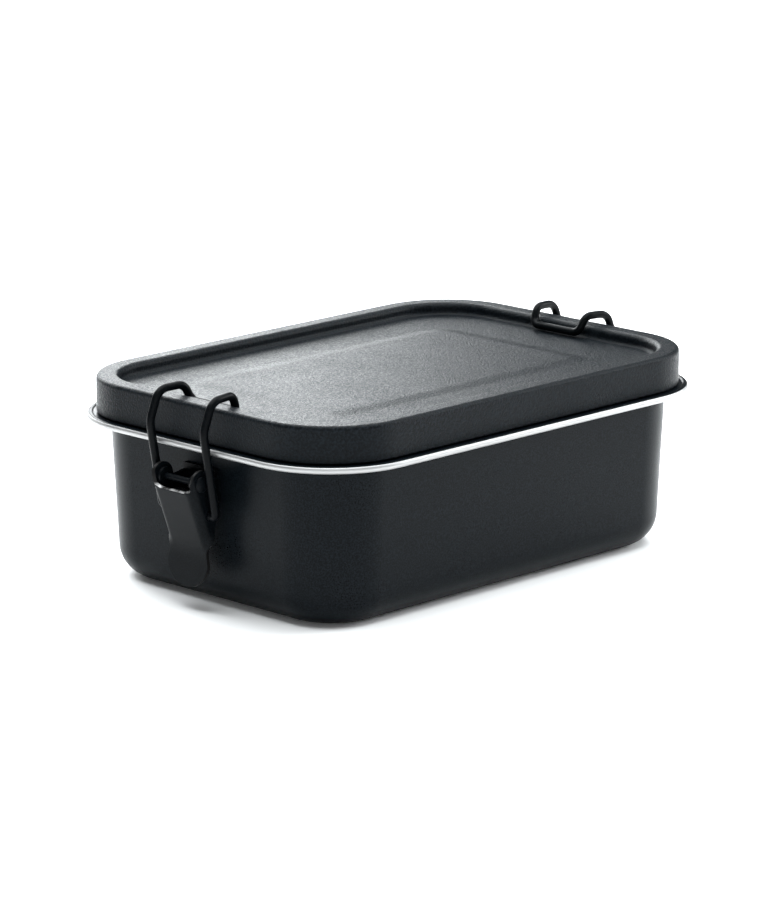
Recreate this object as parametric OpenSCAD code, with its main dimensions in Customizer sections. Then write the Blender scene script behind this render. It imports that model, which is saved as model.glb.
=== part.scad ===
// Steel lunch box with a lift-off lid and two wire-bail clips.
// Millimetres, +Z up, +X along the length, floor at z = 0, closed as drawn.

/* [Plan size] */
// length over the rolled rim
rim_l = 170; // [168:1:176]
// width over the rolled rim
rim_w = 120; // [117:1:127]
// corner radius of the rolled rim in plan
rim_r = 29; // [28:0.5:30]

/* [Tub] */
// outer corner radius of the wall at rim height
wall_r = 22; // [21.7:0.1:22.2]
// thickness of the pressed sheet
tub_t = 0.7; // [0.5:0.05:0.8]
// inward lean of the wall, mm per mm of depth
draft = 0.05; // [0.03:0.005:0.05]
// outer radius between wall and base
base_r = 10; // [7:0.5:10]
// height of the bead centre above the floor
bead_z = 49.3; // [49.1:0.1:49.4]
// radius of the rolled bead
bead_r = 1.1; // [0.9:0.05:1.1]
// top of the neck that stands up inside the lid
neck_z = 58.2; // [56:0.1:58.2]

/* [Lid] */
// outer corner radius of the lid skirt
lid_r = 26.1; // [25.7:0.1:26.2]
// thickness of the lid sheet
lid_t = 0.6; // [0.5:0.05:0.7]
// lower edge of the skirt
lid_z0 = 50.6; // [50.6:0.1:51.2]
// top of the lid's raised edge
lid_top = 61.5; // [61.4:0.05:61.6]
// outer edge radius of the raised edge
lid_ro = 1.3; // [1:0.1:1.6]
// inner shoulder radius of the raised edge
lid_ri = 1.8; // [1.6:0.1:1.8]
// corner radius of the recess wall
recess_r = 19.1; // [18.9:0.1:19.3]
// depth of the recess below the raised edge
recess_d = 3.8; // [3.7:0.05:3.9]
// fillet where the recess wall meets its floor
floor_r = 1.4; // [1:0.1:1.5]

/* [Raised panel] */
// half length of the panel at its foot
panel_x = 56; // [50:1:60]
// half width of the panel at its foot
panel_y = 34; // [28:1:38]
// height of the panel above the recess floor
panel_h = 0.7; // [0.5:0.1:1.2]
// width of the panel's sloping edge
panel_s = 6; // [5:0.5:6]

/* [Clips] */
// wire diameter of the bail
wire_d = 2.5; // [2.2:0.1:2.5]
// half spacing of the two wire legs
leg_y = 11.3; // [11.3:0.1:12]
// half width over the lever's cheeks
lever_y = 8.6; // [8.4:0.1:8.6]
// sheet thickness of lever and bracket
clip_t = 1; // [0.9:0.05:1]
// radius of the hinge pin
pin_r = 0.95; // [0.8:0.05:1]
// running clearance of the lever on its pin, radial
pin_gap = 0.05; // [0.02:0.01:0.08]

/* [Hidden] */
$fn = 64;
core_x = rim_l / 2 - rim_r;            // corner centres, shared by rim, wall and lid
core_y = rim_w / 2 - rim_r;
bead_c = rim_r - bead_r;               // bead centre, measured like the corner radii
floor_z = lid_top - recess_d;
plate_r = 12;                          // where the swept edges hand over to flat plates
panel_r = 9;                           // corner radius at the panel's foot
lever_pin = [core_x + 30.2, 39.7];     // clip points are [distance from centre, height]
lever_hook = [core_x + 27.2, 29.8];
lever_lip = [core_x + 34.2, 37];
lever_waist = [core_x + 27.6, 18.8];
lever_tip = [core_x + 28.9, 7.5];
wire_path = [lever_hook, [core_x + 31.7, 55.2], [core_x + 27.6, 64.2], [core_x + 19.2, 64.5],
             [core_x + 14.4, 59.8]];
wire_bend = [0, 6, 4, 2.2, 0];         // centre-line bend radius at each point of wire_path
hook_bend = 1.4;                       // bend that turns the wire in towards the cheek
bar_bend = 2.4;                        // bend between wire leg and cross bar
lap = 0.15;                            // how far straight wire runs over the start of a bend
step = 0.02;                           // bends are this much thinner, so straights end on them cleanly

// ---- helpers ----

// points on a circle arc
function arc(c, r, a0, a1, n) =
    [for (i = [0:n]) let (a = a0 + (a1 - a0) * i / n) c + r * [cos(a), sin(a)]];

function unit(v) = v / norm(v);
function heading(v) = atan2(v[1], v[0]);
function wall_at(z) = wall_r - draft * (bead_z - z);

// closed strip between a path and the same path offset into the sheet
module strip(outer, inner) {
    polygon(concat(outer, [for (i = [len(inner) - 1:-1:0]) inner[i]]));
}

// sweeps a [radius, height] section round a rectangle of corner centres
module perimeter(cx, cy) {
    for (s = [0, 180]) rotate([0, 0, s]) {
        translate([cx, cy, 0]) rotate([90, 0, 0]) linear_extrude(2 * cy) children();
        rotate([0, 0, 90]) translate([cy, cx, 0]) rotate([90, 0, 0]) linear_extrude(2 * cx) children();
        translate([cx, cy, 0]) rotate_extrude(angle = 90) children();
        translate([-cx, cy, 0]) rotate([0, 0, 90]) rotate_extrude(angle = 90) children();
    }
}

// rounded rectangle with corner centres at cx, cy
module slab(cx, cy, r) {
    square([2 * (cx + r), 2 * cy], center = true);
    square([2 * cx, 2 * (cy + r)], center = true);
    for (x = [-cx, cx], y = [-cy, cy]) translate([x, y]) circle(r);
}

// two discs joined by their outer tangents
module link(a, ra, b, rb) {
    d = b - a;
    h = heading(d);
    w = acos((ra - rb) / norm(d));
    translate(a) circle(ra);
    translate(b) circle(rb);
    polygon([a + ra * [cos(h + w), sin(h + w)], b + rb * [cos(h + w), sin(h + w)],
             b + rb * [cos(h - w), sin(h - w)], a + ra * [cos(h - w), sin(h - w)]]);
}

// stands a side view up and gives it a width centred on the clip
module across(w) {
    translate([0, w / 2, 0]) rotate([90, 0, 0]) linear_extrude(w) children();
}

// the same side view as two plates, outer faces at +-y
module pair(y, t) {
    for (s = [1, -1]) translate([0, s * (y - t / 2), 0]) across(t) children();
}

// ---- tub ----

// wall and base fillet, offset t into the sheet
function tub_path(t) = concat(
    [[plate_r - 3, t]],
    arc([wall_at(base_r) - base_r, base_r], base_r - t, -90, -atan(draft), 12),
    [[wall_r - t, bead_z], [wall_r - t, neck_z]]);

module tub() {
    color("dimgray") {
        linear_extrude(tub_t) slab(core_x, core_y, plate_r - 2.5);
        perimeter(core_x, core_y) {
            strip(tub_path(0), tub_path(tub_t));
            translate([wall_r - tub_t / 2, bead_z + 0.1]) square([bead_c - wall_r + tub_t / 2, 0.65]);
            translate([bead_c, bead_z]) circle(bead_r);
        }
    }
}

// ---- lid ----

// skirt, raised edge and recess wall, offset t into the sheet
function lid_path(t) = concat(
    [[lid_r - t, lid_z0]],
    arc([lid_r - lid_ro, lid_top - lid_ro], lid_ro - t, 0, 90, 6),
    arc([recess_r + lid_ri, lid_top - lid_ri], lid_ri - t, 90, 180, 8),
    arc([recess_r - floor_r, floor_z + floor_r], floor_r + t, 0, -90, 6),
    [[plate_r, floor_z - t]]);

// soft step up to the raised panel
function panel_path(t) =
    [for (i = [0:10]) [panel_r - panel_s * i / 10, floor_z - t + panel_h * (1 - cos(18 * i)) / 2]];

module lid() {
    px = panel_x - panel_r;
    py = panel_y - panel_r;
    color("slategray") {
        perimeter(core_x, core_y) strip(lid_path(0), lid_path(lid_t));
        translate([0, 0, floor_z - lid_t]) linear_extrude(lid_t) difference() {
            slab(core_x, core_y, plate_r + 0.5);
            slab(px, py, panel_r - 0.1);
        }
        perimeter(px, py) strip(panel_path(0), panel_path(lid_t));
        translate([0, 0, floor_z - lid_t + panel_h]) linear_extrude(lid_t)
            slab(px, py, panel_r - panel_s + 0.1);
    }
}

// silicone ring in the lid's channel, just above the neck
module lid_seal() {
    color("gainsboro") perimeter(core_x, core_y)
        translate([recess_r + lid_t + 1.2, neck_z + 0.3])
            square([lid_r - recess_r - 2 * lid_t - 2.1, lid_top - lid_t - 0.1 - neck_z - 0.3]);
}

// ---- clip pieces, drawn at the +X end ----

module bracket() {
    half = lever_y - clip_t - 0.6;
    ear = 2.7;
    foot = [for (z = [32.5, 42.4]) [core_x + wall_at(z) + 0.02, z]];
    color("darkslategray") {
        across(2 * half) polygon([foot[0], foot[0] + [clip_t, 0], foot[1] + [clip_t, 0], foot[1]]);
        difference() {
            pair(half, clip_t) {
                translate(lever_pin) circle(ear);
                polygon([foot[0] + [0.5, 1], lever_pin + ear * [cos(66), -sin(66)], lever_pin,
                         lever_pin - [ear, 0], [foot[1][0] + 0.5, lever_pin[1] + 0.8]]);
            }
            translate([lever_pin[0], 0, lever_pin[1]]) rotate([90, 0, 0])
                cylinder(h = 40, r = pin_r, center = true);
        }
        across(5) polygon([foot[0] + [0.6, 0.4], lever_pin + [0.1, -3.3], lever_pin + [-0.3, -2.6],
                           foot[0] + [0.6, 1.6]]);
    }
}

// riveted pin, its heads just outside the lever's cheeks
module pin() {
    color("silver") translate([lever_pin[0], 0, lever_pin[1]]) rotate([90, 0, 0]) {
        cylinder(h = 2 * lever_y + 0.8, r = pin_r, center = true);
        for (m = [0, 1]) mirror([0, 0, m]) translate([0, 0, lever_y + 0.1])
            cylinder(h = 1, r1 = 2.4, r2 = 1.7);
    }
}

// U-section whose outer face lies on the line from lever_waist to lever_lip
module channel() {
    run = lever_lip - lever_waist;
    translate([lever_waist[0], 0, lever_waist[1]]) rotate([0, 90 - heading(run), 0])
        translate([0, 0, -6]) linear_extrude(norm(run) + 20) difference() {
            translate([-20, 0]) channel_outline(lever_y, 2.6);
            translate([-20 - clip_t, 0]) channel_outline(lever_y - clip_t, 2.6 - clip_t);
        }
}

module channel_outline(y, r) {
    translate([0, -y]) square([20 - r, 2 * y]);
    translate([0, r - y]) square([20, 2 * (y - r)]);
    for (s = [1, -1]) translate([20 - r, s * (y - r)]) circle(r);
}

// side view of cheeks and upper face
module lever_side() {
    in = unit(lever_lip - lever_waist);
    back = 0.7 * [-in[1], in[0]];
    foot = lever_waist + 0.6 * in + back;
    lip = lever_lip - 0.7 * in + back;
    link(lever_pin, 3.9, lever_hook, 2.6);
    link(lever_hook, 2.6, foot, 0.7);
    link(lever_pin, 3.9, lip, 0.7);
    polygon([lever_pin, lever_hook, foot, lip]);
    polygon([foot - back, lip - back, lip, foot]);
}

// side view of the sheet from the lip down to the thumb tip
module lever_sheet() {
    in = unit(lever_lip - lever_waist);
    low = unit(lever_waist - lever_tip);
    polygon([lever_waist + 4 * in, lever_waist, lever_tip, lever_tip - clip_t * [low[1], -low[0]],
             lever_waist - clip_t * [1, -0.08], lever_waist + 4 * in - clip_t * [in[1], -in[0]]]);
}

// front view of the thumb paddle, [across, height]
module paddle() {
    translate([0, 16.3]) circle(8.8);
    translate([-7.6, 16.3]) square([15.2, 6]);
    translate([-7.9, 20]) square([15.8, 6]);
}

module lever() {
    color("gray") difference() {
        union() {
            intersection() {
                channel();
                across(2 * lever_y + 2) lever_side();
            }
            intersection() {
                across(2 * lever_y + 2) lever_sheet();
                translate([core_x + 10, 0, 0]) rotate([90, 0, 90]) linear_extrude(30) paddle();
            }
            for (m = [0, 1]) mirror([0, m, 0])
                translate([lever_hook[0], 9.7, lever_hook[1]]) rotate([90, 0, 0])
                    cylinder(h = 9.7 - lever_y + 0.5, r = wire_d / 2);
        }
        translate([lever_pin[0], 0, lever_pin[1]]) rotate([90, 0, 0])
            cylinder(h = 40, r = pin_r + pin_gap, center = true);
    }
}

// round wire along a flat path of straights and bends
module bent_wire(p, bend, r) {
    n = len(p);
    dirs = [for (i = [0:n - 2]) unit(p[i + 1] - p[i])];
    turn = [for (i = [0:n - 1]) i == 0 || i == n - 1 ? 0
        : let (d = heading(dirs[i]) - heading(dirs[i - 1])) d > 180 ? d - 360 : d < -180 ? d + 360 : d];
    cut = [for (i = [0:n - 1]) bend[i] * tan(abs(turn[i]) / 2)];
    for (i = [0:n - 2])
        translate(p[i] + (cut[i] - lap) * dirs[i]) rotate([0, 0, heading(dirs[i])])
            rotate([0, 90, 0]) cylinder(h = norm(p[i + 1] - p[i]) - cut[i] - cut[i + 1] + 2 * lap, r = r);
    for (i = [1:n - 2]) {
        side = turn[i] > 0 ? 1 : -1;
        normal = side * [-dirs[i - 1][1], dirs[i - 1][0]];
        translate(p[i] - cut[i] * dirs[i - 1] + bend[i] * normal)
            rotate([0, 0, heading(-normal) + min(turn[i], 0)])
                rotate_extrude(angle = abs(turn[i])) translate([bend[i], 0]) circle(r - step);
    }
}

// quarter bend between a direction in the side view and the crosswise direction
module side_bend(at, dir, y, bend, from) {
    translate([at[0], y, at[1]]) rotate([0, 180 - heading(dir), 0]) rotate([0, 0, 90 + from])
        rotate_extrude(angle = 90) translate([bend, 0]) circle(wire_d / 2 - step);
}

module bail() {
    n = len(wire_path);
    up = unit(wire_path[1] - wire_path[0]);
    down = unit(wire_path[n - 1] - wire_path[n - 2]);
    foot = wire_path[0] + hook_bend * up;
    head = wire_path[n - 1] - bar_bend * down;
    run = concat([foot], [for (i = [1:n - 2]) wire_path[i]], [head]);
    color("black") {
        for (m = [0, 1]) mirror([0, m, 0]) {
            translate([0, leg_y, 0]) rotate([90, 0, 0]) bent_wire(run, wire_bend, wire_d / 2);
            side_bend(foot, up, leg_y - hook_bend, hook_bend, -90);
            side_bend(head, down, leg_y - bar_bend, bar_bend, 0);
        }
        translate([wire_path[n - 1][0], 0, wire_path[n - 1][1]]) rotate([90, 0, 0])
            cylinder(h = 2 * (leg_y - bar_bend + lap), r = wire_d / 2, center = true);
    }
}

module left() { rotate([0, 0, 180]) children(); }

tub();
lid();
lid_seal();
left() bracket();  // left_bracket
left() pin();  // left_pin
left() lever();  // left_lever
left() bail();  // left_bail
bracket();  // right_bracket
pin();  // right_pin
lever();  // right_lever
bail();  // right_bail
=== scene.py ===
# Looks for the clip-top steel lunch box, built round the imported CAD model. Metres, same frame as the CAD.
import math

import bmesh
import bpy
from mathutils import Matrix, Vector


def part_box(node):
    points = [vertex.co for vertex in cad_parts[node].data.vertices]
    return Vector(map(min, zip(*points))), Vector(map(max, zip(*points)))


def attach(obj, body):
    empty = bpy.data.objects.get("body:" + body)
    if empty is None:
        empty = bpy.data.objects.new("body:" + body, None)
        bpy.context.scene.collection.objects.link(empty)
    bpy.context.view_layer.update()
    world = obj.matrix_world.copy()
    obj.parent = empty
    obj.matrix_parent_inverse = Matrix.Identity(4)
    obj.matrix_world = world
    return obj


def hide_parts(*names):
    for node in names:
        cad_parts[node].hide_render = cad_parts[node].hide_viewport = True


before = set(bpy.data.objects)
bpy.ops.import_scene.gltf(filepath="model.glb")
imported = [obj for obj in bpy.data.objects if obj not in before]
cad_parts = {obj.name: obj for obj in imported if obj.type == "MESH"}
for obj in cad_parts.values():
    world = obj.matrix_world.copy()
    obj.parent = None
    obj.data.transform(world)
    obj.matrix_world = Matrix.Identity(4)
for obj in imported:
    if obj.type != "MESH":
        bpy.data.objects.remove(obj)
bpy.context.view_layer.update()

MM = 0.001
_, tub_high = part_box("tub")
lid_low, lid_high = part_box("lid")

# ---- sizes, in metres ----

RIM_R = 29 * MM                       # plan corner radius of the rolled rim
CORE = Vector((tub_high.x - RIM_R, tub_high.y - RIM_R))   # corner centres shared by every section
WALL_R = 22 * MM                      # corner radius of the wall at rim height
TUB_T = 0.7 * MM
DRAFT = 0.05                          # inward lean of the wall
BASE_R = 10 * MM                      # wall-to-base radius
BEAD_R = 1.1 * MM
BEAD_C = RIM_R - BEAD_R
BEAD_Z = 49.3 * MM
FLANGE_TOP = BEAD_Z + 0.75 * MM
FLANGE_LOW = BEAD_Z + 0.1 * MM
BEAD_STEPS, BARE_STEPS = 30, 22       # steps round the bead, and how many of them are bare steel
BASE_START = 9 * MM                   # corner radius of the first section of the flat base
NECK_Z = tub_high.z

LID_R = lid_high.x - CORE.x
LID_T = 0.6 * MM
LID_RO = 1.3 * MM                     # outer edge radius of the raised edge
LID_RI = 1.8 * MM                     # inner shoulder radius
RECESS_R = 19.1 * MM
RECESS_Z = lid_high.z - 3.8 * MM
RECESS_START = 12 * MM                # corner radius where the recess's flat begins outside the panel
FLOOR_R = 1.4 * MM
PANEL_CORE = Vector((47 * MM, 25 * MM))
PANEL_R = 9 * MM
PANEL_S = 7 * MM
PANEL_H = 0.5 * MM

# clip points in the plane y = 0: (distance from the box's centre, height)
PIN = Vector((86.2 * MM, 39.7 * MM))
HOOK = Vector((83.2 * MM, 29.8 * MM))
LIP = Vector((90.08 * MM, 37 * MM))
WAIST = Vector((83.6 * MM, 18.8 * MM))
TIP = Vector((84.9 * MM, 7.5 * MM))
LEVER_Y = 8.6 * MM
CLIP_T = 1.0 * MM
CHEEK_BEND = 2.6 * MM
CHEEK_START, CHEEK_SLOPE = 1.2 * MM, 0.66   # cheek depth at the waist, and its growth up the face
WAIST_BEND = 3.2 * MM                 # half length of the bend at the waist
WAIST_PULL = 0.175                    # how far that bend cuts its corner, as a share of its half length
PADDLE_R = 8.75 * MM
EAR_R = 3.9 * MM
GRIP_R = 2.6 * MM                     # rounding of the cheek about the hook hole
WIRE_R = 1.25 * MM
LEG_Y = 11.3 * MM
# wire corners above the hook, mm: distance out, half spacing, height, bend radius
WIRE = ((87.7, 11.3, 55.2, 6), (84.2, 11.3, 64.15, 4.6), (75.4, 10.3, 64.5, 3.4), (72.9, 9.4, 59.4, 2.4))


# ---- mesh helpers ----

def arc(cx, cz, r, a0, a1, n):
    """Points (r, z) along a circle arc, angles in degrees."""
    turns = [math.radians(a0 + (a1 - a0) * i / n) for i in range(n + 1)]
    return [(cx + r * math.cos(t), cz + r * math.sin(t)) for t in turns]


def new_piece(name, verts, faces, materials, body, slot, marks=None):
    """A smooth-shaded mesh object that rides on a body; marks gives each face's material index."""
    mesh = bpy.data.meshes.new(name)
    mesh.from_pydata(verts, [], faces)
    if marks:
        mesh.polygons.foreach_set("material_index", marks)
    bm = bmesh.new()
    bm.from_mesh(mesh)
    bmesh.ops.remove_doubles(bm, verts=bm.verts, dist=1e-6)
    bmesh.ops.recalc_face_normals(bm, faces=bm.faces)
    bm.to_mesh(mesh)
    bm.free()
    mesh.shade_smooth()
    obj = bpy.data.objects.new(name, mesh)
    bpy.context.scene.collection.objects.link(obj)
    for material in materials:
        mesh.materials.append(material)
    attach(obj, body)
    return obj


def ring(core, r, z, n_arc=20, n_long=14, n_wide=10):
    """One level of a rounded rectangle: the same count of points whatever its size."""
    corners = []
    for q, (sx, sy) in enumerate(((1, 1), (-1, 1), (-1, -1), (1, -1))):
        corners.append([Vector((sx * core.x + r * math.cos(t), sy * core.y + r * math.sin(t), z))
                        for t in (math.radians(90 * (q + i / n_arc)) for i in range(n_arc + 1))])
    points = []
    for q, corner in enumerate(corners):
        points += corner
        following = corners[(q + 1) % 4][0]
        n = n_long if q % 2 == 0 else n_wide
        points += [corner[-1].lerp(following, i / n) for i in range(1, n)]
    return points


def loft(rings, marks):
    """Faces between successive closed rings, flat faces over the first and last; marks per ring gap."""
    n = len(rings[0])
    verts = [p for level in rings for p in level]
    faces, tags = [list(range(n))], [marks[0]]
    for k in range(len(rings) - 1):
        for i in range(n):
            j = (i + 1) % n
            faces.append([k * n + i, k * n + j, (k + 1) * n + j, (k + 1) * n + i])
            tags.append(marks[k])
    faces.append([(len(rings) - 1) * n + i for i in reversed(range(n))])
    tags.append(marks[-1])
    return verts, faces, tags


def keep_flats_flat(obj, angle=40):
    """Weights normals by face area, so narrow roundings don't shade the flats beside them."""
    obj.data.set_sharp_from_angle(angle=math.radians(angle))
    weighted = obj.modifiers.new("weighted", "WEIGHTED_NORMAL")
    weighted.keep_sharp = True
    return obj


def soften(obj, width, segments=2, angle=35):
    """Rounds the sharp edges of a CAD node or a folded sheet."""
    bevel = obj.modifiers.new("soften", "BEVEL")
    bevel.width = width
    bevel.segments = segments
    bevel.limit_method = "ANGLE"
    bevel.angle_limit = math.radians(angle)
    bevel.harden_normals = False
    return obj


def tube(path, radius, sides=20):
    """A round wire swept along a list of points, closed at both ends."""
    tangents = []
    for i in range(len(path)):
        a, b = path[max(i - 1, 0)], path[min(i + 1, len(path) - 1)]
        tangents.append((b - a).normalized())
    side = tangents[0].orthogonal().normalized()
    verts = []
    for p, t in zip(path, tangents):
        side = (side - t * side.dot(t)).normalized()
        up = t.cross(side)
        verts += [p + radius * (math.cos(a) * side + math.sin(a) * up)
                  for a in (2 * math.pi * k / sides for k in range(sides))]
    faces = [list(range(sides)), [(len(path) - 1) * sides + k for k in reversed(range(sides))]]
    for i in range(len(path) - 1):
        for k in range(sides):
            m = (k + 1) % sides
            faces.append([i * sides + k, i * sides + m, (i + 1) * sides + m, (i + 1) * sides + k])
    return verts, faces


def rounded(points, radii, step=math.radians(7)):
    """A polyline with each inner corner replaced by an arc of its radius."""
    path = [points[0]]
    for p, r, before, after in zip(points[1:-1], radii[1:-1], points, points[2:]):
        d1, d2 = (p - before).normalized(), (after - p).normalized()
        turn = d1.angle(d2)
        centre = p + (d2 - d1).normalized() * r / math.cos(turn / 2)
        start = p - d1 * r * math.tan(turn / 2) - centre
        n = max(2, round(turn / step))
        path += [centre + start * math.cos(turn * i / n) + d1 * r * math.sin(turn * i / n)
                 for i in range(n + 1)]
    return path + [points[-1]]


def smooth(x, a, b):
    """0 below a, 1 above b, with an easy curve between."""
    t = min(max((x - a) / (b - a), 0.0), 1.0)
    return t * t * (3 - 2 * t)


def at_clip(end, out, across, up):
    """A clip point in the frame's axes; end is +1 for the right clip, -1 for the left, turned about Z."""
    return Vector((end * out, end * across, up))


# ---- materials ----

class Nodes:
    """A short way to write a node tree."""

    def __init__(self, name):
        self.material = bpy.data.materials.new(name)
        self.material.use_nodes = True
        self.tree = self.material.node_tree
        self.shader = self.tree.nodes["Principled BSDF"]
        self.place = self.add("ShaderNodeTexCoord").outputs["Object"]

    def add(self, kind, inputs=None, **settings):
        node = self.tree.nodes.new(kind)
        for key, value in settings.items():
            setattr(node, key, value)
        for key, value in (inputs or {}).items():
            if isinstance(value, bpy.types.NodeSocket):
                self.tree.links.new(value, node.inputs[key])
            else:
                node.inputs[key].default_value = value
        return node

    def noise(self, scale, detail=2.0, roughness=0.5, place=None):
        return self.add("ShaderNodeTexNoise", {"Vector": place or self.place, "Scale": scale,
                                               "Detail": detail, "Roughness": roughness}).outputs["Fac"]

    def ramp(self, value, low, high, to_low, to_high):
        return self.add("ShaderNodeMapRange", {"Value": value, "From Min": low, "From Max": high,
                                               "To Min": to_low, "To Max": to_high}).outputs["Result"]

    def mix(self, factor, a, b):
        return self.add("ShaderNodeMix", {0: factor, 6: a, 7: b}, data_type="RGBA").outputs[2]

    def bump(self, height, strength, distance):
        return self.add("ShaderNodeBump", {"Height": height, "Strength": strength,
                                           "Distance": distance}).outputs["Normal"]

    def set(self, **values):
        for key, value in values.items():
            socket = self.shader.inputs[key.replace("_", " ")]
            if isinstance(value, bpy.types.NodeSocket):
                self.tree.links.new(value, socket)
            else:
                socket.default_value = value
        return self.material


def grey(v, cool=0.0):
    return (v * (1 - cool), v, v * (1 + cool), 1.0)


def powder_coat(name, tone, rough, grain, depth, level, spread=0.05, fleck=1.7):
    """Matte black powder coat: fine orange peel, a little dust-light variation, uneven sheen."""
    n = Nodes(name)
    fine = n.noise(grain, 3.0, 0.6)
    broad = n.noise(60, 2.0)
    colour = n.mix(n.ramp(fine, 0.42, 0.64, 0, 1), grey(tone * 0.5, 0.4), grey(tone * fleck, 0.3))
    sheen = n.add("ShaderNodeMath", {0: n.ramp(fine, 0.35, 0.65, -spread, spread),
                                     1: n.ramp(broad, 0.3, 0.7, rough - 0.03, rough + 0.03)}).outputs[0]
    normal = n.bump(fine, 0.8, depth)
    return n.set(Base_Color=colour, Roughness=sheen, Specular_IOR_Level=level, Normal=normal)


def bare_steel(name, rough, tone=0.68):
    """Drawn stainless sheet: fine rubbing marks and slight cloudiness."""
    n = Nodes(name)
    rubbed = n.add("ShaderNodeMapping", {"Vector": n.place, "Scale": (1.0, 1.0, 12.0)}).outputs[0]
    marks = n.noise(420, 4.0, 0.65, rubbed)
    cloud = n.noise(35, 2.0)
    colour = n.mix(n.ramp(cloud, 0.3, 0.7, 0, 1), grey(tone * 0.93), grey(tone * 1.05))
    sheen = n.ramp(marks, 0.3, 0.7, rough - 0.06, rough + 0.08)
    return n.set(Base_Color=colour, Metallic=1.0, Roughness=sheen,
                 Normal=n.bump(marks, 0.08, 0.01 * MM))


def worn_edge(name):
    """Cut sheet edge, its black coat rubbed through in patches on the face's sides, lip and tip."""
    n = Nodes(name)
    height = n.add("ShaderNodeSeparateXYZ", {0: n.place}).outputs["Z"]
    above = n.ramp(height, 20 * MM, 24 * MM, 0, 1)
    below = n.ramp(height, 37.4 * MM, 38.2 * MM, 1, 0)
    tip = n.ramp(height, TIP.y + 0.06 * MM, TIP.y + 0.14 * MM, 0.8, 0)
    face = n.add("ShaderNodeMath", {0: above, 1: below}, operation="MULTIPLY").outputs[0]
    where = n.add("ShaderNodeMath", {0: face, 1: tip}, operation="MAXIMUM").outputs[0]
    patches = n.ramp(n.noise(260, 3.0, 0.7), 0.4, 0.6, 0, 1)
    wear = n.add("ShaderNodeMath", {0: patches, 1: where}, operation="MULTIPLY").outputs[0]
    return n.set(Base_Color=n.mix(wear, grey(0.006), grey(0.45)), Metallic=wear,
                 Roughness=n.ramp(wear, 0, 1, 0.45, 0.35), Specular_IOR_Level=0.1)


def silicone(name):
    n = Nodes(name)
    haze = n.noise(300, 3.0)
    return n.set(Base_Color=n.mix(n.ramp(haze, 0.3, 0.7, 0, 1), (0.62, 0.62, 0.6, 1), (0.72, 0.72, 0.7, 1)),
                 Roughness=n.ramp(haze, 0.3, 0.7, 0.42, 0.55), Subsurface_Weight=0.15,
                 Subsurface_Radius=(1.5 * MM, 1.5 * MM, 1.5 * MM),
                 Normal=n.bump(haze, 0.2, 0.03 * MM))


coat_lid = powder_coat("lid_powder_coat", 0.005, 0.42, 1500, 0.24 * MM, 0.08, 0.12, 1.9)
coat_tub = powder_coat("tub_powder_coat", 0.005, 0.33, 2200, 0.03 * MM, 0.06)
coat_clip = powder_coat("clip_coat", 0.003, 0.40, 2600, 0.012 * MM, 0.06)
coat_wire = powder_coat("wire_coat", 0.002, 0.36, 2600, 0.008 * MM, 0.06)
steel = bare_steel("bare_steel", 0.5, 0.43)
edge = worn_edge("worn_edge")
rubber = silicone("silicone")


# ---- tub ----

def wall_r(z):
    return WALL_R - DRAFT * (BEAD_Z - z)


def tub_sections():
    """(radius, height, mark) from the underside round to the inside floor; mark 0 is coated, 1 is bare."""
    lean = -math.degrees(math.atan(DRAFT))
    foot = wall_r(BASE_R) - BASE_R
    fillet = 0.6 * MM
    top = FLANGE_LOW - fillet
    edge_r = TUB_T / 2
    under = [(BASE_START, 0)] + arc(foot, BASE_R, BASE_R, -90, lean, 14)
    wall = [(wall_r(z), z) for z in (BASE_R + (top - BASE_R) * i / 6 for i in range(1, 6))]
    flange = arc(wall_r(top) + fillet, top, fillet, 180, 90, 5)
    bead = arc(BEAD_C, BEAD_Z, BEAD_R, 175, 497, BEAD_STEPS)
    bare, coated = bead[:BARE_STEPS], bead[BARE_STEPS:]
    tuck = arc(WALL_R + 0.35 * MM, FLANGE_TOP + 0.35 * MM, 0.35 * MM, -90, -180, 4)
    neck = arc(WALL_R - edge_r, NECK_Z - edge_r, edge_r, 0, 180, 8)
    inside = [(wall_r(z) - TUB_T, z) for z in (48 * MM, 35 * MM, 22 * MM)]
    floor = arc(foot, BASE_R, BASE_R - TUB_T, lean, -90, 14) + [(BASE_START, TUB_T)]
    parts = ((under + wall + flange, 0), (bare, 1), (coated + tuck, 0), (neck + inside + floor, 1))
    return [(r, z, mark) for points, mark in parts for r, z in points]


sections = tub_sections()
verts, faces, tags = loft([ring(CORE, r, z) for r, z, _ in sections], [mark for _, _, mark in sections])
tub = new_piece("tub_shell", verts, faces, [coat_tub, steel], "tub", "tub", tags)
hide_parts("tub")
keep_flats_flat(tub)


# ---- lid ----

def lid_side(t):
    """(core, radius, height) from the panel's middle out to the skirt's lower edge, t inside the sheet."""
    top = lid_high.z
    slope = [(PANEL_CORE, PANEL_R - PANEL_S * (1 - i / 12),
              RECESS_Z - t + PANEL_H * (1 + math.cos(math.pi * i / 12)) / 2) for i in range(13)]
    side = [(RECESS_START, RECESS_Z - t)]
    side += arc(RECESS_R - FLOOR_R, RECESS_Z + FLOOR_R, FLOOR_R + t, -90, 0, 8)
    side += arc(RECESS_R + LID_RI, top - LID_RI, LID_RI - t, 180, 90, 12)
    side += arc(LID_R - LID_RO, top - LID_RO, LID_RO - t, 90, 0, 8)
    side += [(LID_R - t, lid_low.z + 5 * MM), (LID_R - t, lid_low.z + LID_T / 2)]
    return slope + [(CORE, r, z) for r, z in side]


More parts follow.
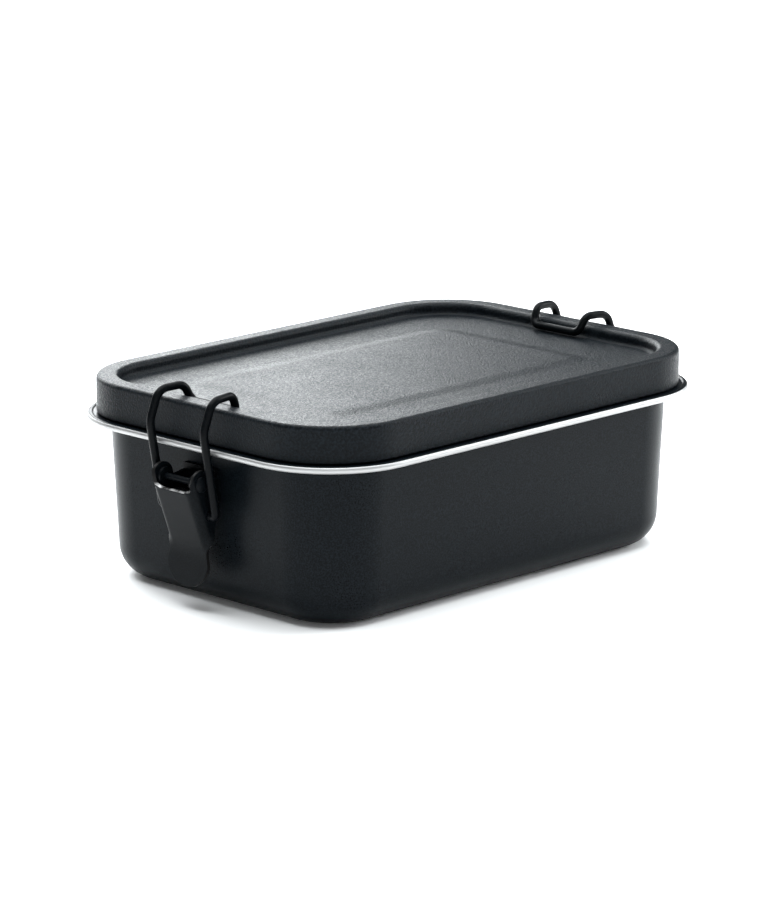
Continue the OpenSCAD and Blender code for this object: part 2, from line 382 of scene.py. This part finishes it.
outside, inside = lid_side(0), lid_side(LID_T)
hem = [(CORE, r, z) for r, z in arc(LID_R - LID_T / 2, lid_low.z + LID_T / 2, LID_T / 2, 0, -180, 6)[1:-1]]
levels = outside + hem + inside[::-1]
marks = [0] * (len(outside) + len(hem)) + [1] * len(inside)
verts, faces, tags = loft([ring(*level) for level in levels], marks)
lid = new_piece("lid_shell", verts, faces, [coat_lid, steel], "lid", "lid", tags)
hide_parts("lid")
keep_flats_flat(lid)

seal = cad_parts["lid_seal"]
seal.data.materials.clear()
seal.data.materials.append(rubber)
soften(seal, 0.4 * MM, 3)


# ---- clips ----

def leaning(lean):
    """Unit vector up a sheet that leans outward by this angle."""
    return Vector((math.sin(lean), math.cos(lean)))


SPINE_UP = (LIP - WAIST).normalized()
LOW_LEAN = math.atan2(WAIST.x - TIP.x, WAIST.y - TIP.y)
FACE_LEAN = math.atan2(LIP.x - WAIST.x, LIP.y - WAIST.y)
FACE_LEN = (LIP - WAIST).length
LOW_LEN = (WAIST - TIP).length
FLAT_Y = LEVER_Y - CHEEK_BEND
QUARTER = CHEEK_BEND * math.pi / 2


def in_face(point):
    """(distance up from the waist along the face, depth behind it)."""
    d = point - WAIST
    return d.dot(SPINE_UP), d.dot(Vector((-SPINE_UP.y, SPINE_UP.x)))


EAR, GRIP = in_face(PIN), in_face(HOOK)
SHEET_TOP = EAR[0] + EAR_R


def lean_at(v):
    return LOW_LEAN + (FACE_LEAN - LOW_LEAN) * smooth(v, -WAIST_BEND, WAIST_BEND)


def spine(v, steps=24):
    """Point on the middle of the outer face at distance v up from the waist."""
    p = WAIST + WAIST_PULL * WAIST_BEND * (leaning(FACE_LEAN) - leaning(LOW_LEAN))
    for i in range(steps):
        p += leaning(lean_at(v * (i + 0.5) / steps)) * (v / steps)
    return p


def depth_to_sheet(d):
    """Unrolled distance from the face's middle to the cheek at depth d."""
    if d >= CHEEK_BEND:
        return FLAT_Y + QUARTER + d - CHEEK_BEND
    return FLAT_Y + CHEEK_BEND * math.acos(1 - max(d, 0.0) / CHEEK_BEND)


def ear_half(v):
    """Half depth of the ear's round at height v."""
    return math.sqrt(max(EAR_R ** 2 - (v - EAR[0]) ** 2, 0))


def cheek_back(v):
    """Depth of the cheek's rear edge: the ear, a line down past the hook, then a slope to the waist."""
    if v > EAR[0]:
        return EAR[1] + ear_half(v)
    line = EAR[1] + EAR_R + (GRIP[1] + GRIP_R - EAR[1] - EAR_R) * (EAR[0] - v) / (EAR[0] - GRIP[0])
    slope = CHEEK_START + CHEEK_SLOPE * v
    corner = 0.35 * MM * math.exp(-((line - slope) / (1.6 * MM)) ** 2)
    return min(line, slope) - corner


def paddle_half(v):
    """Half width of the thumb paddle, a disc with a pinched neck, v from the waist."""
    up = v + LOW_LEN
    disc = math.sqrt(max(PADDLE_R ** 2 - (up - PADDLE_R) ** 2, 0)) if up < PADDLE_R else PADDLE_R
    return disc - 1.15 * MM * smooth(v, -5.5 * MM, -0.5 * MM)


def sheet_half(v):
    """Half width of the unrolled sheet: the paddle, then the face with its cheek."""
    cheek = depth_to_sheet(cheek_back(max(v, 0.2 * MM)))
    if v > 3.2 * MM:
        return cheek
    return paddle_half(v) + (cheek - paddle_half(min(v, 0))) * smooth(v, -1.0 * MM, 3.2 * MM)


def folded(s, v):
    """Place on the outer skin (out, across, up) for unrolled distance s and height v."""
    fold = smooth(v, -1.5 * MM, 4.5 * MM)
    across, depth = s, 0.0
    if s > FLAT_Y and fold > 1e-3:
        turn = fold * min(s - FLAT_Y, QUARTER) / CHEEK_BEND
        rest = max(s - FLAT_Y - QUARTER, 0)
        across = FLAT_Y + CHEEK_BEND / fold * math.sin(turn) + rest * math.cos(turn)
        depth = CHEEK_BEND / fold * (1 - math.cos(turn)) + rest * math.sin(turn)
    lean = lean_at(v)
    p = spine(v) + depth * Vector((-math.cos(lean), math.sin(lean)))
    return p.x, across, p.y


def lever_mesh(end, paddle_rows=14, face_rows=34, ear_rows=20, n_face=5, n_cheek=18):
    """Half a lever as a grid of unrolled columns, then its mirror half."""
    inner = FLAT_Y - 1.2 * MM
    rows = [-LOW_LEN + LOW_LEN * 0.62 * (1 - math.cos(math.pi / 2 * i / paddle_rows))
            for i in range(paddle_rows + 1)]
    rows += [rows[-1] + (FACE_LEN - rows[-1]) * i / face_rows for i in range(1, face_rows + 1)]
    ears = [FACE_LEN + (SHEET_TOP - FACE_LEN) * math.sin(math.pi / 2 * i / ear_rows)
            for i in range(1, ear_rows + 1)]
    verts, faces, index = [], [], {}

    def put(key, s, v):
        out, across, up = folded(s, v)
        for sign in (1, -1):
            index[key + (sign,)] = len(verts)
            verts.append(at_clip(end, out, sign * across, up))

    for i, v in enumerate(rows + ears):
        half = sheet_half(v)
        start = min(inner, half * 0.6)
        if v > FACE_LEN:
            front = depth_to_sheet(EAR[1] - ear_half(v))
            fillet = max(1 - (v - FACE_LEN) / (1.3 * MM), 0) ** 3
            start = front + (inner - front) * fillet * 0.55
        else:
            for k in range(n_face):
                put((i, k), start * k / n_face, v)
        for k in range(n_cheek + 1):
            put((i, n_face + k), start + (half - start) * k / n_cheek, v)
    for i in range(len(rows + ears) - 1):
        first = 0 if i + 1 < len(rows) else n_face
        for k in range(first, n_face + n_cheek):
            for sign in (1, -1):
                faces.append([index[row, column, sign]
                              for row, column in ((i, k), (i, k + 1), (i + 1, k + 1), (i + 1, k))])
    return verts, faces


def lever_piece(side, end):
    verts, faces = lever_mesh(end)
    obj = new_piece(side + "_lever_sheet", verts, faces, [coat_clip, edge], side + "_lever", "lever")
    outward = sum(f.normal.x * end * f.area for f in obj.data.polygons)
    if outward < 0:
        obj.data.flip_normals()
    sheet = obj.modifiers.new("sheet", "SOLIDIFY")
    sheet.thickness = CLIP_T
    sheet.offset = -1
    sheet.material_offset_rim = 1
    soften(obj, 0.14 * MM, 2, 50)
    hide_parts(side + "_lever")
    return obj


def lathe(profile, end, centre, name, material, body, slot, sides=40):
    """A body of revolution about the clip's crosswise axis; profile is (y, radius)."""
    verts, faces = [], []
    for y, r in profile:
        verts += [at_clip(end, centre.x + r * math.cos(a), y, centre.y + r * math.sin(a))
                  for a in (2 * math.pi * k / sides for k in range(sides))]
    for i in range(len(profile) - 1):
        for k in range(sides):
            m = (k + 1) % sides
            faces.append([i * sides + k, i * sides + m, (i + 1) * sides + m, (i + 1) * sides + k])
    faces += [list(range(sides)), [(len(profile) - 1) * sides + k for k in range(sides)]]
    return new_piece(name, verts, faces, [material], body, slot)


def rivet_profile():
    """Rod with a domed head at each end, from -y to +y."""
    head = [(8.72 * MM, 0.95 * MM), (8.72 * MM, 2.3 * MM), (8.86 * MM, 2.4 * MM)]
    head += [(8.86 * MM + 0.82 * MM * math.sin(t), 2.4 * MM * math.cos(t) ** 0.8)
             for t in (math.pi / 2 * i / 10 for i in range(1, 10))] + [(9.69 * MM, 0.1 * MM)]
    return [(-y, r) for y, r in reversed(head)] + head


def clip(side, end):
    lever_piece(side, end)
    for k, sign in enumerate((1, -1)):
        stub = [(sign * y * MM, r * MM) for y, r in ((8.3, 1.25), (9.55, 1.25), (9.7, 1.15))]
        lathe(stub, end, HOOK, f"{side}_hook_end_{k}", coat_wire, side + "_lever", "lever")
    pin = lathe(rivet_profile(), end, PIN, side + "_rivet", coat_clip, "tub", "pin")
    keep_flats_flat(pin)
    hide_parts(side + "_pin")

    corners = [(HOOK.x, 9.75 * MM, HOOK.y, 0), (HOOK.x, LEG_Y, HOOK.y, 1.4 * MM)]
    corners += [tuple(v * MM for v in corner) for corner in WIRE]
    half = [at_clip(end, u, y, z) for u, y, z, _ in corners]
    other = [at_clip(end, u, -y, z) for u, y, z, _ in reversed(corners)]
    radii = [corner[3] for corner in corners]
    path = rounded(half + other, radii + radii[::-1])
    bail = new_piece(side + "_bail_wire", *tube(path, WIRE_R), [coat_wire], side + "_bail", "bail")
    keep_flats_flat(bail, 50)
    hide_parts(side + "_bail")

    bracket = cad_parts[side + "_bracket"]
    bracket.data.materials.clear()
    bracket.data.materials.append(coat_wire)
    soften(bracket, 0.15 * MM)


clip("left", -1)
clip("right", 1)


# ---- stage ----

floor_mesh = bpy.data.meshes.new("floor")
floor_mesh.from_pydata([(-5, -5, 0), (5, -5, 0), (5, 5, 0), (-5, 5, 0)], [], [(0, 1, 2, 3)])
floor = bpy.data.objects.new("floor", floor_mesh)
bpy.context.scene.collection.objects.link(floor)
paper = Nodes("paper")
paper.set(Base_Color=(0.93, 0.93, 0.93, 1), Roughness=0.9, Specular_IOR_Level=0.1)
floor_mesh.materials.append(paper.material)

world = bpy.data.worlds.new("studio")
world.use_nodes = True
world.node_tree.nodes["Background"].inputs["Color"].default_value = (1, 1, 1, 1)
world.node_tree.nodes["Background"].inputs["Strength"].default_value = 0.15
bpy.context.scene.world = world
bpy.context.scene.view_settings.view_transform = "Standard"


def softbox(name, place, aim, size, power):
    light = bpy.data.lights.new(name, "AREA")
    light.shape = "RECTANGLE"
    light.size, light.size_y = size
    light.energy = power
    light.color = (0.95, 0.985, 1.0)
    obj = bpy.data.objects.new(name, light)
    bpy.context.scene.collection.objects.link(obj)
    obj.location = place
    obj.rotation_euler = (Vector(aim) - Vector(place)).to_track_quat("-Z", "Y").to_euler()


softbox("key", (0.197, 0.511, 0.28), (0, 0.02, 0.06), (0.5, 0.3), 5.2)
softbox("fill", (-1.6, -1.6, 0.7), (0, 0, 0.04), (3, 1), 14)
softbox("side", (0.8, -0.45, 0.4), (0.06, -0.04, 0.05), (0.5, 0.35), 7)
softbox("top", (0.3, 0.3, 1.8), (0.3, 0.3, 0), (2.6, 2.6), 125)

AZIMUTH, ELEVATION = math.radians(-45.24), math.radians(13.88)
ROLL, DISTANCE = math.radians(-0.094), 1.298
TARGET = Vector((-0.00411, 0, 0.03313))

camera_data = bpy.data.cameras.new("camera")
camera_data.sensor_width = 36
camera_data.lens = 171.5
camera = bpy.data.objects.new("camera", camera_data)
bpy.context.scene.collection.objects.link(camera)
back = Vector((math.sin(AZIMUTH) * math.cos(ELEVATION), -math.cos(AZIMUTH) * math.cos(ELEVATION),
               math.sin(ELEVATION)))
right = (-back).cross(Vector((0, 0, 1))).normalized()
up = right.cross(-back)
rolled_right = right * math.cos(ROLL) + up * math.sin(ROLL)
rolled_up = up * math.cos(ROLL) - right * math.sin(ROLL)
camera.matrix_world = Matrix.Translation(TARGET + back * DISTANCE) @ Matrix(
    (rolled_right, rolled_up, back)).transposed().to_4x4()
bpy.context.scene.camera = camera
